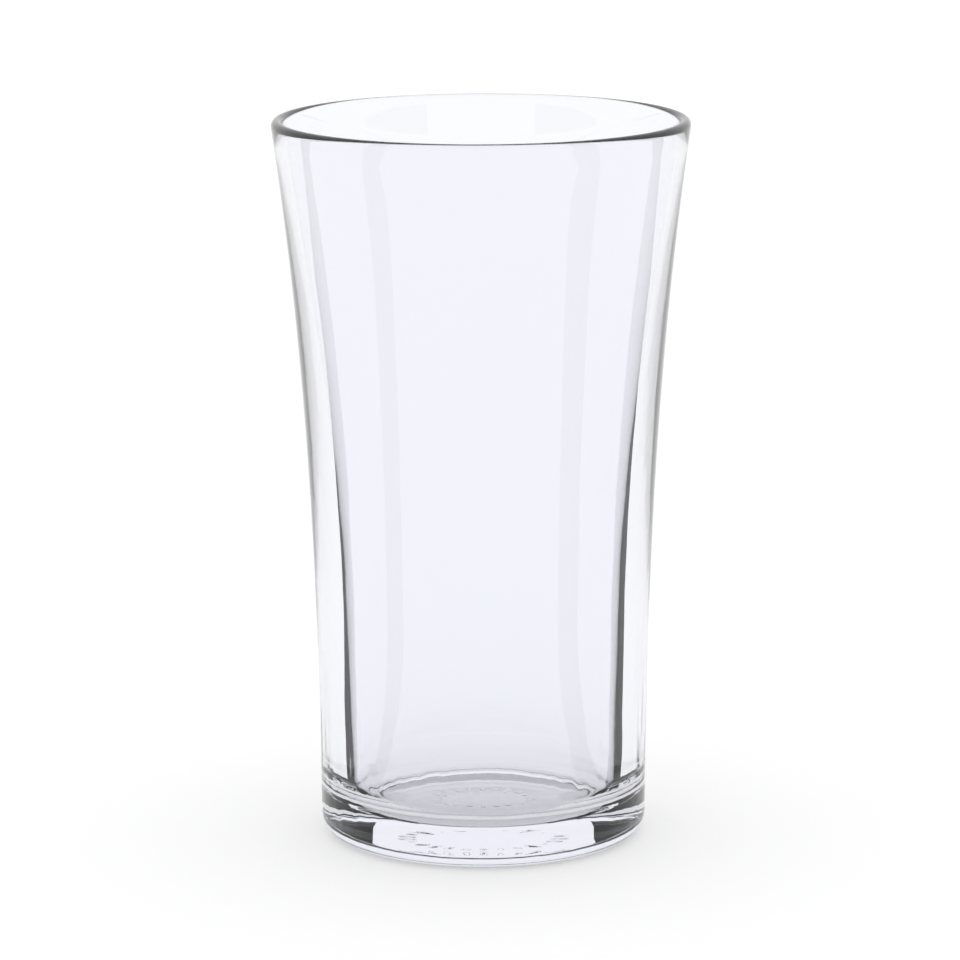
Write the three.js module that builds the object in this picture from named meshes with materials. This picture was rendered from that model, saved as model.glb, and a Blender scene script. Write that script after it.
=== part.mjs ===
// Pint glass: a flared, heavy-based tumbler, pressed in one piece from clear soda-lime glass.
// Millimetres, +Z up. The origin is the centre of the foot ring, on the surface it stands on.
import * as THREE from 'three';

// Overall size.
const HEIGHT = 152;
const RIM_RADIUS = 43.5;

// Lip: fully rounded, with its middle where both walls end.
const WALL_AT_RIM = 2.6;
const LIP_RADIUS = WALL_AT_RIM / 2;
const LIP_Z = HEIGHT - LIP_RADIUS;

// Outer wall: a slight mould taper from the foot, plus a flare that gathers towards the rim.
const FOOT_RADIUS = 34.3;
const TAPER = 0.008;
const FLARE_POWER = 2.5;
const FLARE = RIM_RADIUS - FOOT_RADIUS - TAPER * LIP_Z;
const FOOT_CORNER = 4.5;

// Wall thickness, measured level: even in the straight lower part, then thinning to the lip.
const WALL_AT_FOOT = 6.4;
const THINNING_STARTS = 45;

// Inside floor, flat, with a large fillet up to the wall. The fillet turns only part of the way
// and meets the floor in a small, tight corner, as the plunger's edge leaves it.
const FLOOR_HEIGHT = 7.6;
const FLOOR_FILLET = 8;
const FLOOR_CORNER = 0.8;
const FILLET_TURN = THREE.MathUtils.degToRad(62);

// Underside: a flat foot ring to stand on, round a shallow recess with a slightly raised middle.
const RING_OUTER = FOOT_RADIUS - FOOT_CORNER;
const RING_INNER = 26.5;
const RECESS_RADIUS = 24.5;
const RECESS_DEPTH = 0.75;
const RECESS_DOME = 0.3;

// Facets: round the axis, up each wall, and round each arc.
const SEGMENTS = 72;
const WALL_STEPS = 16;
const LIP_STEPS = 10;
const CORNER_STEPS = 6;
const TIGHT_CORNER_STEPS = 2;
const DOME_STEPS = 3;

function outerRadius(z) {
  return FOOT_RADIUS + TAPER * z + FLARE * (z / LIP_Z) ** FLARE_POWER;
}

function innerRadius(z) {
  const thinning = THREE.MathUtils.smoothstep(z, THINNING_STARTS, LIP_Z);
  return outerRadius(z) - THREE.MathUtils.lerp(WALL_AT_FOOT, WALL_AT_RIM, thinning);
}

// How far a wall leans out from upright at height z, as an angle.
function lean(radius, z) {
  const step = 0.01;
  return Math.atan((radius(z) - radius(z - step)) / step);
}

// Points of an arc in the (radius, height) half-plane, both ends included.
function arc(r, z, radius, from, to, steps) {
  return Array.from({ length: steps + 1 }, (_, i) => {
    const angle = from + ((to - from) * i) / steps;
    return new THREE.Vector2(r + radius * Math.cos(angle), z + radius * Math.sin(angle));
  });
}

// Points between two heights on a wall, both ends left out because arcs supply them.
function wall(radius, from, to) {
  return Array.from({ length: WALL_STEPS - 1 }, (_, i) => {
    const z = from + ((to - from) * (i + 1)) / WALL_STEPS;
    return new THREE.Vector2(radius(z), z);
  });
}

// The recess and foot ring, from the axis out to where the foot's corner starts.
function underside() {
  const dome = Array.from({ length: DOME_STEPS + 1 }, (_, i) => {
    const share = i / DOME_STEPS;
    return new THREE.Vector2(RECESS_RADIUS * share, RECESS_DEPTH + RECESS_DOME * (1 - share ** 2));
  });
  return [...dome, new THREE.Vector2(RING_INNER, 0)];
}

// The foot's rounded corner, from the foot ring up to the outer wall.
function footCorner() {
  const corner = arc(RING_OUTER, FOOT_CORNER, FOOT_CORNER, -Math.PI / 2, 0, CORNER_STEPS);
  return [...corner.slice(0, -1), new THREE.Vector2(outerRadius(FOOT_CORNER), FOOT_CORNER)];
}

// The rounded lip, from the outer wall over the top to the inner wall.
function lip() {
  const from = -lean(outerRadius, LIP_Z);
  const to = Math.PI - lean(innerRadius, LIP_Z);
  return arc(RIM_RADIUS - LIP_RADIUS, LIP_Z, LIP_RADIUS, from, to, LIP_STEPS);
}

// The fillet between inner wall and floor, the tight corner at its foot, then the floor's centre.
function floor() {
  const cornerZ = FLOOR_HEIGHT + FLOOR_CORNER;
  const z = cornerZ + (FLOOR_FILLET - FLOOR_CORNER) * Math.sin(FILLET_TURN);
  const tilt = lean(innerRadius, z);
  const r = innerRadius(z) - FLOOR_FILLET * Math.cos(tilt);
  const fillet = arc(r, z, FLOOR_FILLET, -tilt, -FILLET_TURN, CORNER_STEPS);
  const cornerR = r + (FLOOR_FILLET - FLOOR_CORNER) * Math.cos(FILLET_TURN);
  const corner = arc(
    cornerR,
    cornerZ,
    FLOOR_CORNER,
    -FILLET_TURN,
    -Math.PI / 2,
    TIGHT_CORNER_STEPS,
  );
  return [...fillet, ...corner.slice(1), new THREE.Vector2(0, FLOOR_HEIGHT)];
}

// The whole section, from the axis on the underside, round the wall, to the axis on the floor.
function section() {
  const corner = footCorner();
  const top = lip();
  const bottom = floor();
  return [
    ...underside(),
    ...corner,
    ...wall(outerRadius, corner.at(-1).y, top[0].y),
    ...top,
    ...wall(innerRadius, top.at(-1).y, bottom[0].y),
    ...bottom,
  ];
}

// The section turned round the axis, as it is in the press mould.
function pintGlass() {
  const geometry = new THREE.LatheGeometry(section(), SEGMENTS);
  geometry.rotateX(Math.PI / 2);
  const clearGlass = new THREE.MeshStandardMaterial({
    color: 0xeef2f4,
    roughness: 0.03,
    metalness: 0,
    transparent: true,
    opacity: 0.3,
  });
  const mesh = new THREE.Mesh(geometry, clearGlass);
  mesh.name = 'pint_glass';
  return mesh;
}

const object = new THREE.Group();
object.add(pintGlass());

export default object;
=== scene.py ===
import math

import bpy
from mathutils import Euler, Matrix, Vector


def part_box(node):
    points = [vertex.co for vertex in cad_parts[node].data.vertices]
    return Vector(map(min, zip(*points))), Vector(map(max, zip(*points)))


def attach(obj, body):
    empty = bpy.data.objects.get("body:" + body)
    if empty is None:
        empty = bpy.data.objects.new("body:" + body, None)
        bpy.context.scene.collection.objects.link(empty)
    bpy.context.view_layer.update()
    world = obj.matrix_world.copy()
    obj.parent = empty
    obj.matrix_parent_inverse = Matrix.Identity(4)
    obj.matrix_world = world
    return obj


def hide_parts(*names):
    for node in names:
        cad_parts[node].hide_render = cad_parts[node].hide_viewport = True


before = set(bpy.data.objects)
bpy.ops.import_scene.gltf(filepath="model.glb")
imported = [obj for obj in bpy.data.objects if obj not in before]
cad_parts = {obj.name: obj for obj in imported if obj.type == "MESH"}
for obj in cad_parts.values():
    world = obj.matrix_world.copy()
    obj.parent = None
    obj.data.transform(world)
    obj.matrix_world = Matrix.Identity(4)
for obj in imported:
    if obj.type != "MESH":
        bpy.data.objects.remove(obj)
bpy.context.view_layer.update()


# The pint glass.
# One gob of clear soda-lime glass, pressed in one shot between a steel mould and a plunger that
# shapes the cup, and fire-polished at the lip. It is one closed body of revolution, with the
# mould's ripples in its wall and plain raised bars under its foot.

MM = 0.001
low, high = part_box("pint_glass")
height = high.z - low.z
rim_radius = (high.x - low.x) / 2

# The wall is thick and even low down, and thins smoothly to the rounded lip.
wall_at_foot = 6.4 * MM
wall_at_rim = 2.6 * MM
thinning_starts = 45 * MM
lip_radius = wall_at_rim / 2
lip_z = height - lip_radius

# The outside has a slight taper, so that it leaves the mould, and flares towards the rim.
foot_radius = 34.3 * MM
foot_corner = 4.5 * MM
mould_taper = 0.008
flare_power = 2.5
flare = rim_radius - foot_radius - mould_taper * lip_z

# The fillet meets the floor in a tight corner, and the plunger leaves a small step round it.
floor_height = 7.6 * MM
floor_fillet = 8.0 * MM
floor_corner = 0.8 * MM
fillet_turn = math.radians(62)
witness_step = 0.15 * MM
witness_width = 0.12 * MM

# The underside is a shallow, slightly domed recess inside the flat ring that it stands on.
recess_radius = 24.5 * MM
ring_inner = 26.5 * MM
recess_depth = 0.75 * MM
recess_dome = 0.3 * MM

# Rows of points along each stretch of the section.
recess_rows = 60
ring_rows = 6
corner_rows = 16
wall_rows = 34
lip_rows = 24
fillet_rows = 16
tight_corner_rows = 6
floor_rows = 12


def outer_radius(z):
    return foot_radius + mould_taper * z + flare * (z / lip_z) ** flare_power


def eased(value, start, end):
    share = min(max((value - start) / (end - start), 0), 1)
    return share * share * (3 - 2 * share)


def inner_radius(z):
    thinned = (wall_at_foot - wall_at_rim) * eased(z, thinning_starts, lip_z)
    return outer_radius(z) - wall_at_foot + thinned


def lean(radius, z):
    step = 0.01 * MM
    return math.atan((radius(z) - radius(z - step)) / step)


def arc(r, z, size, start, end, steps):
    angles = [start + (end - start) * i / steps for i in range(steps + 1)]
    return [(r + size * math.cos(a), z + size * math.sin(a)) for a in angles]


def wall(radius, start, end, steps):
    heights = [start + (end - start) * i / steps for i in range(1, steps)]
    return [(radius(z), z) for z in heights]


def flat(start, end, steps, z):
    radii = [start + (end - start) * i / steps for i in range(steps)]
    return [(r, z(r)) for r in radii]


def recess(r):
    return recess_depth + recess_dome * (1 - (r / recess_radius) ** 2)


# The section runs from the middle of the underside, out round the foot, up the wall, over the
# lip, and back down the inside to the middle of the floor.
def glass_section():
    corner_r = foot_radius - foot_corner
    underside = flat(0, recess_radius, recess_rows, recess)
    underside += flat(ring_inner, corner_r, ring_rows, lambda r: 0.0)
    corner = arc(corner_r, foot_corner, foot_corner, -math.pi / 2, 0, corner_rows)[:-1]
    corner.append((outer_radius(foot_corner), foot_corner))

    lip_start = -lean(outer_radius, lip_z)
    lip_end = math.pi - lean(inner_radius, lip_z)
    lip = arc(rim_radius - lip_radius, lip_z, lip_radius, lip_start, lip_end, lip_rows)

    tight_z = floor_height + witness_step + floor_corner
    fillet_z = tight_z + (floor_fillet - floor_corner) * math.sin(fillet_turn)
    tilt = lean(inner_radius, fillet_z)
    fillet_r = inner_radius(fillet_z) - floor_fillet * math.cos(tilt)
    fillet = arc(fillet_r, fillet_z, floor_fillet, -tilt, -fillet_turn, fillet_rows)
    tight_r = fillet_r + (floor_fillet - floor_corner) * math.cos(fillet_turn)
    tight = arc(tight_r, tight_z, floor_corner, -fillet_turn, -math.pi / 2, tight_corner_rows)[1:]

    outside = wall(outer_radius, foot_corner, lip[0][1], wall_rows)
    inside = wall(inner_radius, lip[-1][1], fillet_z, wall_rows)
    floor = flat(tight_r - witness_width, 0, floor_rows, lambda r: floor_height)
    floor.append((0, floor_height))
    return underside + corner + outside + lip + inside + fillet + tight + floor


section = glass_section()
section_mesh = bpy.data.meshes.new("glass_section")
edges = [(i, i + 1) for i in range(len(section) - 1)]
section_mesh.from_pydata([(r, 0, z) for r, z in section], edges, [])
glass_blank = bpy.data.objects.new("glass_blank", section_mesh)
bpy.context.scene.collection.objects.link(glass_blank)

# The clear glass has a faint cold blue in its depth. Its surface is smooth, with slight haze from
# handling and shallow waves from the press.
glass_tint = (0.925, 0.93, 0.96, 1)
glass_refraction = 1.52
depth_tint = (0.82, 0.83, 0.93, 1)
depth_density = 8.0
haze_scale = 45
haze_starts = 0.4
haze_full = 0.9
haze_roughness = 0.02
wave_scale = 160
wave_height = 0.004 * MM

clear_glass = bpy.data.materials.new("clear_glass")
clear_glass.use_nodes = True
nodes = clear_glass.node_tree.nodes
links = clear_glass.node_tree.links
shader = nodes["Principled BSDF"]
shader.inputs["Base Color"].default_value = glass_tint
shader.inputs["Transmission Weight"].default_value = 1.0
shader.inputs["IOR"].default_value = glass_refraction

place = nodes.new("ShaderNodeTexCoord")
haze = nodes.new("ShaderNodeTexNoise")
haze.inputs["Scale"].default_value = haze_scale
haze.inputs["Detail"].default_value = 4
links.new(place.outputs["Object"], haze.inputs["Vector"])
haze_range = nodes.new("ShaderNodeMapRange")
haze_range.inputs["From Min"].default_value = haze_starts
haze_range.inputs["From Max"].default_value = haze_full
haze_range.inputs["To Min"].default_value = 0.0
haze_range.inputs["To Max"].default_value = haze_roughness
links.new(haze.outputs["Fac"], haze_range.inputs["Value"])
links.new(haze_range.outputs["Result"], shader.inputs["Roughness"])

waves = nodes.new("ShaderNodeTexNoise")
waves.inputs["Scale"].default_value = wave_scale
waves.inputs["Detail"].default_value = 2
links.new(place.outputs["Object"], waves.inputs["Vector"])
bump = nodes.new("ShaderNodeBump")
bump.inputs["Strength"].default_value = 1.0
bump.inputs["Distance"].default_value = wave_height
links.new(waves.outputs["Fac"], bump.inputs["Height"])
links.new(bump.outputs["Normal"], shader.inputs["Normal"])

depth = nodes.new("ShaderNodeVolumeAbsorption")
depth.inputs["Color"].default_value = depth_tint
depth.inputs["Density"].default_value = depth_density
links.new(depth.outputs["Volume"], nodes["Material Output"].inputs["Volume"])

# The turning lays a sheet of points along the section and round the axis, and closes it.
turning = bpy.data.node_groups.new("turned_glass", "GeometryNodeTree")
sockets = {}


def named_input(name, kind, value=None):
    socket = turning.interface.new_socket(name, in_out="INPUT", socket_type=kind)
    if value is not None:
        socket.default_value = value
    sockets[name] = socket.identifier


named_input("Section", "NodeSocketGeometry")
named_input("Points", "NodeSocketInt", len(section))
named_input("Segments", "NodeSocketInt", 384)
named_input("Marks", "NodeSocketInt", 24)
named_input("Mark Ring", "NodeSocketFloat", 10.5 * MM)
named_input("Mark Length", "NodeSocketFloat", 3.0 * MM)
named_input("Mark Height", "NodeSocketFloat", 0.25 * MM)
named_input("Ripple", "NodeSocketFloat", 0.16 * MM)
named_input("Seed", "NodeSocketInt", 7)
named_input("Glass", "NodeSocketMaterial")
turning.interface.new_socket("Glass Body", in_out="OUTPUT", socket_type="NodeSocketGeometry")

given = turning.nodes.new("NodeGroupInput")
result = turning.nodes.new("NodeGroupOutput")


def put(socket, value):
    if isinstance(value, bpy.types.NodeSocket):
        turning.links.new(value, socket)
    else:
        socket.default_value = value


def calculate(operation, *values):
    node = turning.nodes.new("ShaderNodeMath")
    node.operation = operation
    for socket, value in zip(node.inputs, values):
        put(socket, value)
    return node.outputs[0]


def slope(value, none, full):
    node = turning.nodes.new("ShaderNodeMapRange")
    node.interpolation_type = "SMOOTHSTEP"
    put(node.inputs["Value"], value)
    put(node.inputs["From Min"], none)
    put(node.inputs["From Max"], full)
    return node.outputs["Result"]


def vector(x, y, z):
    node = turning.nodes.new("ShaderNodeCombineXYZ")
    put(node.inputs["X"], x)
    put(node.inputs["Y"], y)
    put(node.inputs["Z"], z)
    return node.outputs["Vector"]


columns = calculate("ADD", given.outputs["Segments"], 1)
sheet = turning.nodes.new("GeometryNodeMeshGrid")
put(sheet.inputs["Vertices X"], given.outputs["Points"])
put(sheet.inputs["Vertices Y"], columns)

# Half a point is added before the whole rows are counted, so that no rounding loses a row.
half_point = 0.5
index = turning.nodes.new("GeometryNodeInputIndex").outputs["Index"]
along = calculate("FLOOR", calculate("DIVIDE", calculate("ADD", index, half_point), columns))
around = calculate("SUBTRACT", index, calculate("MULTIPLY", along, columns))
turn = calculate("MULTIPLY", calculate("DIVIDE", around, given.outputs["Segments"]), math.tau)

section_point = turning.nodes.new("GeometryNodeSampleIndex")
section_point.data_type = "FLOAT_VECTOR"
position = turning.nodes.new("GeometryNodeInputPosition").outputs["Position"]
put(section_point.inputs["Geometry"], given.outputs["Section"])
put(section_point.inputs["Value"], position)
put(section_point.inputs["Index"], along)
split = turning.nodes.new("ShaderNodeSeparateXYZ")
put(split.inputs["Vector"], section_point.outputs["Value"])
radius, rise = split.outputs["X"], split.outputs["Z"]

# Plain bars stand in a ring under the foot, no two struck to the same length and height. Each is
# level along the middle of its length, and slopes away at its ends and sides.
faintest_bar = 0.3
fullest_bar = 1.0
level_share = 0.6
side_starts = 0.1
side_ends = 0.7
underside_ends = 4 * MM
underside_full = 3 * MM

# Of the random node's sockets, inputs 2 and 3 and output 1 are the ones for a plain number.
bars_passed = calculate("DIVIDE", calculate("MULTIPLY", turn, given.outputs["Marks"]), math.tau)
nearest_bar = calculate("ROUND", bars_passed)
struck = turning.nodes.new("FunctionNodeRandomValue")
put(struck.inputs[2], faintest_bar)
put(struck.inputs[3], fullest_bar)
put(struck.inputs["ID"], calculate("MODULO", nearest_bar, given.outputs["Marks"]))
put(struck.inputs["Seed"], given.outputs["Seed"])
strength = struck.outputs[1]
from_ring = calculate("ABSOLUTE", calculate("SUBTRACT", radius, given.outputs["Mark Ring"]))
half_bar = calculate("DIVIDE", given.outputs["Mark Length"], 2)
half_struck = calculate("MULTIPLY", half_bar, strength)
in_ring = slope(from_ring, half_struck, calculate("MULTIPLY", half_struck, level_share))
bar_wave = calculate("COSINE", calculate("MULTIPLY", turn, given.outputs["Marks"]))
in_bar = slope(bar_wave, side_starts, side_ends)
underneath = slope(rise, underside_ends, underside_full)
bar = calculate("MULTIPLY", calculate("MULTIPLY", in_ring, in_bar), underneath)
struck_bar = calculate("MULTIPLY", bar, strength)
bar_height = calculate("MULTIPLY", struck_bar, given.outputs["Mark Height"])
marked = calculate("SUBTRACT", rise, bar_height)

# Upright ripples in the wall are full just above the foot, faint higher up, and gone below the
# lip. They die away on the floor before they reach its middle, and none are under the foot.
ripple_scale = 300
ripple_squash = 0.25
ripple_detail = 1.5
ripple_middle = 0.5
ripple_starts = 1 * MM
ripple_full = 4.5 * MM
ripple_sinks = 12 * MM
ripple_low_ends = 45 * MM
ripple_high_fades = 60 * MM
ripple_high_ends = 130 * MM
ripple_high_share = 0.15
calm_radius = 15 * MM
rippled_radius = 22 * MM

cosine, sine = calculate("COSINE", turn), calculate("SINE", turn)
ripples = turning.nodes.new("ShaderNodeTexNoise")
ripples.noise_dimensions = "4D"
put(ripples.inputs["Scale"], ripple_scale)
put(ripples.inputs["Detail"], ripple_detail)
put(ripples.inputs["W"], given.outputs["Seed"])
ripple_place = vector(
    calculate("MULTIPLY", radius, cosine),
    calculate("MULTIPLY", radius, sine),
    calculate("MULTIPLY", rise, ripple_squash),
)
put(ripples.inputs["Vector"], ripple_place)
low_down = slope(rise, ripple_low_ends, ripple_sinks)
all_the_way = slope(rise, ripple_high_ends, ripple_high_fades)
high_up = calculate("MULTIPLY", all_the_way, ripple_high_share)
above_table = slope(rise, ripple_starts, ripple_full)
in_wall = calculate("MULTIPLY", calculate("MAXIMUM", low_down, high_up), above_table)
rippled = calculate("MULTIPLY", in_wall, slope(radius, calm_radius, rippled_radius))
unmasked = calculate("SUBTRACT", ripples.outputs["Fac"], ripple_middle)
swell = calculate("MULTIPLY", unmasked, rippled)
swollen = calculate("ADD", radius, calculate("MULTIPLY", swell, given.outputs["Ripple"]))

# The sheet's two sides and its points on the axis are welded, and its faces turned outwards.
weld_distance = 0.001 * MM
bend = turning.nodes.new("GeometryNodeSetPosition")
swollen_x = calculate("MULTIPLY", swollen, cosine)
swollen_y = calculate("MULTIPLY", swollen, sine)
put(bend.inputs["Geometry"], sheet.outputs["Mesh"])
put(bend.inputs["Position"], vector(swollen_x, swollen_y, marked))
weld = turning.nodes.new("GeometryNodeMergeByDistance")
put(weld.inputs["Geometry"], bend.outputs["Geometry"])
put(weld.inputs["Distance"], weld_distance)
outward = turning.nodes.new("GeometryNodeFlipFaces")
put(outward.inputs["Mesh"], weld.outputs["Geometry"])
smooth = turning.nodes.new("GeometryNodeSetShadeSmooth")
put(smooth.inputs["Geometry"], outward.outputs["Mesh"])
real = turning.nodes.new("GeometryNodeRealizeInstances")
put(real.inputs["Geometry"], smooth.outputs["Geometry"])
finish = turning.nodes.new("GeometryNodeSetMaterial")
put(finish.inputs["Geometry"], real.outputs["Geometry"])
put(finish.inputs["Material"], given.outputs["Glass"])
put(result.inputs["Glass Body"], finish.outputs["Geometry"])

press = glass_blank.modifiers.new("turned_glass", "NODES")
press.node_group = turning
press[sockets["Glass"]] = clear_glass

shape = glass_blank.evaluated_get(bpy.context.evaluated_depsgraph_get())
pressed_mesh = bpy.data.meshes.new_from_object(shape)
glass_blank.modifiers.remove(press)
bpy.data.objects.remove(glass_blank)
pressed_mesh.name = "pressed_glass"
pressed_glass = bpy.data.objects.new("pressed_glass", pressed_mesh)
bpy.context.scene.collection.objects.link(pressed_glass)

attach(pressed_glass, "root")
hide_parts("pint_glass")


# The table.
# A plain matt white top, wide enough to run past every edge of the view. It gives off some light
# of its own, as a light table does, which softens the shadow. It isn't part of the glass.

table_reach = 6.0
table_paint = (0.68, 0.68, 0.68, 1)
table_glow = 0.34
grain_scale = 240
grain_height = 0.02 * MM
smoothest_grain = 0.82
roughest_grain = 0.96

corners = [(-table_reach, -table_reach), (table_reach, -table_reach)]
corners += [(table_reach, table_reach), (-table_reach, table_reach)]
table_mesh = bpy.data.meshes.new("table")
table_mesh.from_pydata([(x, y, 0) for x, y in corners], [], [(0, 1, 2, 3)])
table = bpy.data.objects.new("table", table_mesh)
table_white = bpy.data.materials.new("table_white")
table_white.use_nodes = True
table_nodes = table_white.node_tree.nodes
table_shader = table_nodes["Principled BSDF"]
table_shader.inputs["Base Color"].default_value = table_paint
table_shader.inputs["Emission Color"].default_value = (1, 1, 1, 1)
table_shader.inputs["Emission Strength"].default_value = table_glow
grain_place = table_nodes.new("ShaderNodeTexCoord")
grain = table_nodes.new("ShaderNodeTexNoise")
grain.inputs["Scale"].default_value = grain_scale
grain.inputs["Detail"].default_value = 6
matt = table_nodes.new("ShaderNodeMapRange")
matt.inputs["To Min"].default_value = smoothest_grain
matt.inputs["To Max"].default_value = roughest_grain
grain_bump = table_nodes.new("ShaderNodeBump")
grain_bump.inputs["Strength"].default_value = 0.3
grain_bump.inputs["Distance"].default_value = grain_height
table_links = table_white.node_tree.links
table_links.new(grain_place.outputs["Object"], grain.inputs["Vector"])
table_links.new(grain.outputs["Fac"], matt.inputs["Value"])
table_links.new(matt.outputs["Result"], table_shader.inputs["Roughness"])
table_links.new(grain.outputs["Fac"], grain_bump.inputs["Height"])
table_links.new(grain_bump.outputs["Normal"], table_shader.inputs["Normal"])
table_mesh.materials.append(table_white)
bpy.context.scene.collection.objects.link(table)


# The studio light.
# An even white tent all round, as clear glass is lit. It leaves the glass's edges pale by itself,
# so the dark cards below draw them.

tent_brightness = 1.03
tent = bpy.data.worlds.new("white_tent")
tent.use_nodes = True
tent.node_tree.nodes["Background"].inputs["Color"].default_value = (1, 1, 1, 1)
tent.node_tree.nodes["Background"].inputs["Strength"].default_value = tent_brightness
bpy.context.scene.world = tent
bpy.context.scene.view_settings.view_transform = "Standard"


# The dark cards.
# Black cards and paper round the glass draw its edges dark. They are part of the stage, and not
# quite real: the cards are black only to light that mirrors inside one thickness of glass, and
# the paper collars only to light that passes through one. Nothing else sees them.

# One thickness of glass is two crossings of its surface, and anything from one to three counts.
# Light that has mirrored at all has done so more than half a time.
crossings = 2.0
crossings_slack = 1.1
half_mirroring = 0.5


def card_paint(name, mirrored_only):
    paint = bpy.data.materials.new(name)
    paint.use_nodes = True
    paint_nodes = paint.node_tree.nodes
    paint_links = paint.node_tree.links
    paint_nodes.clear()
    rays = paint_nodes.new("ShaderNodeLightPath")
    in_glass = paint_nodes.new("ShaderNodeMath")
    in_glass.operation = "COMPARE"
    in_glass.inputs[1].default_value = crossings
    in_glass.inputs[2].default_value = crossings_slack
    paint_links.new(rays.outputs["Transmission Depth"], in_glass.inputs[0])
    seen = in_glass.outputs[0]
    if mirrored_only:
        mirrored = paint_nodes.new("ShaderNodeMath")
        mirrored.operation = "GREATER_THAN"
        mirrored.inputs[1].default_value = half_mirroring
        paint_links.new(rays.outputs["Glossy Depth"], mirrored.inputs[0])
        both = paint_nodes.new("ShaderNodeMath")
        both.operation = "MULTIPLY"
        paint_links.new(mirrored.outputs[0], both.inputs[0])
        paint_links.new(in_glass.outputs[0], both.inputs[1])
        seen = both.outputs[0]
    black = paint_nodes.new("ShaderNodeBsdfDiffuse")
    black.inputs["Color"].default_value = (0, 0, 0, 1)
    unseen = paint_nodes.new("ShaderNodeBsdfTransparent")
    shown = paint_nodes.new("ShaderNodeMixShader")
    paint_links.new(seen, shown.inputs[0])
    paint_links.new(unseen.outputs[0], shown.inputs[1])
    paint_links.new(black.outputs[0], shown.inputs[2])
    paint_output = paint_nodes.new("ShaderNodeOutputMaterial")
    paint_links.new(shown.outputs[0], paint_output.inputs["Surface"])
    return paint


card_black = card_paint("card_black", mirrored_only=True)
collar_black = card_paint("collar_black", mirrored_only=False)

card_steps = 12
card_lift = 0.5 * MM
strip_faces = [(i, i + 1, i + 3, i + 2) for i in range(0, 2 * card_steps, 2)]


def lay_card(name, points, faces, paint):
    mesh = bpy.data.meshes.new(name)
    mesh.from_pydata(points, [], faces)
    mesh.materials.append(paint)
    card = bpy.data.objects.new(name, mesh)
    bpy.context.scene.collection.objects.link(card)
    card.visible_camera = False
    card.visible_diffuse = False
    card.visible_shadow = False


# A wall card fans out flat on the table from close beside the foot, on lines that pass to one
# side of the axis. Its far edge stands up, low at one end and at full height from its middle on.
card_near = 22 * MM
card_far = 300 * MM
card_low = 20 * MM
card_tall = 70 * MM
card_rise = 0.5
card_offset = 28.5 * MM
card_starts = {"left": math.radians(50.5), "right": math.radians(47)}
card_end = math.radians(64)


def wall_card(name, side, front, start):
    points = []
    for i in range(card_steps + 1):
        share = i / card_steps
        bearing = start + (card_end - start) * share
        top = card_low + (card_tall - card_low) * min(1, share / card_rise)
        for reach_out, z in ((card_near, card_lift), (card_far, card_lift), (card_far, top)):
            x = reach_out * math.sin(bearing) + card_offset * math.cos(bearing)
            y = reach_out * math.cos(bearing) - card_offset * math.sin(bearing)
            points.append((side * x, front * y, z))
    faces = []
    for i in range(0, 3 * card_steps, 3):
        faces += [(i, i + 1, i + 4, i + 3), (i + 1, i + 2, i + 5, i + 4)]
    lay_card(name, points, faces, card_black)


# A panel hangs far out, upright and above the table.
panel_start = math.radians(32)
panel_end = math.radians(72)
panel_far = 1100 * MM
panel_low = 190 * MM
panel_high = 450 * MM


def panel(name, side, front):
    points = []
    for i in range(card_steps + 1):
        bearing = panel_start + (panel_end - panel_start) * i / card_steps
        x, y = side * panel_far * math.sin(bearing), front * panel_far * math.cos(bearing)
        points += [(x, y, panel_low), (x, y, panel_high)]
    lay_card(name, points, strip_faces, card_black)


for end_name, front in (("back", 1), ("front", -1)):
    wall_card("card_left_" + end_name, -1, front, card_starts["left"])
    wall_card("card_right_" + end_name, 1, front, card_starts["right"])
    panel("panel_left_" + end_name, -1, front)
    panel("panel_right_" + end_name, 1, front)

# The collars are black paper, flat on the table at both sides, close beside the foot.
collar_start = math.radians(46)
collar_end = math.radians(134)
collar_inner = 35.5 * MM
collar_outer = 62 * MM

for side_name, side in (("left", -1), ("right", 1)):
    points = []
    for i in range(card_steps + 1):
        bearing = collar_start + (collar_end - collar_start) * i / card_steps
        for reach_out in (collar_inner, collar_outer):
            x, y = reach_out * math.sin(bearing), reach_out * math.cos(bearing)
            points.append((side * x, y, card_lift))
    lay_card("collar_" + side_name, points, strip_faces, collar_black)


# The camera.
# A long lens a metre from the glass, looking a little down on it. It is aimed near the middle of
# the glass's height, and turned a fraction of a degree about its own axis.

reach = 1.0
pitch = math.radians(11.5)
roll = math.radians(-0.207)
aim = Vector((-0.471 * MM, 0, 75.55 * MM))
film_width_mm = 36
lens_length_mm = 178.575

camera_data = bpy.data.cameras.new("camera")
camera_data.sensor_width = film_width_mm
camera_data.lens = lens_length_mm
camera = bpy.data.objects.new("camera", camera_data)
camera.location = aim + Vector((0, -reach * math.cos(pitch), reach * math.sin(pitch)))
camera.rotation_euler = Euler((math.pi / 2 - pitch, 0, 0))
camera.rotation_euler.rotate_axis("Z", roll)
bpy.context.scene.collection.objects.link(camera)
bpy.context.scene.camera = camera
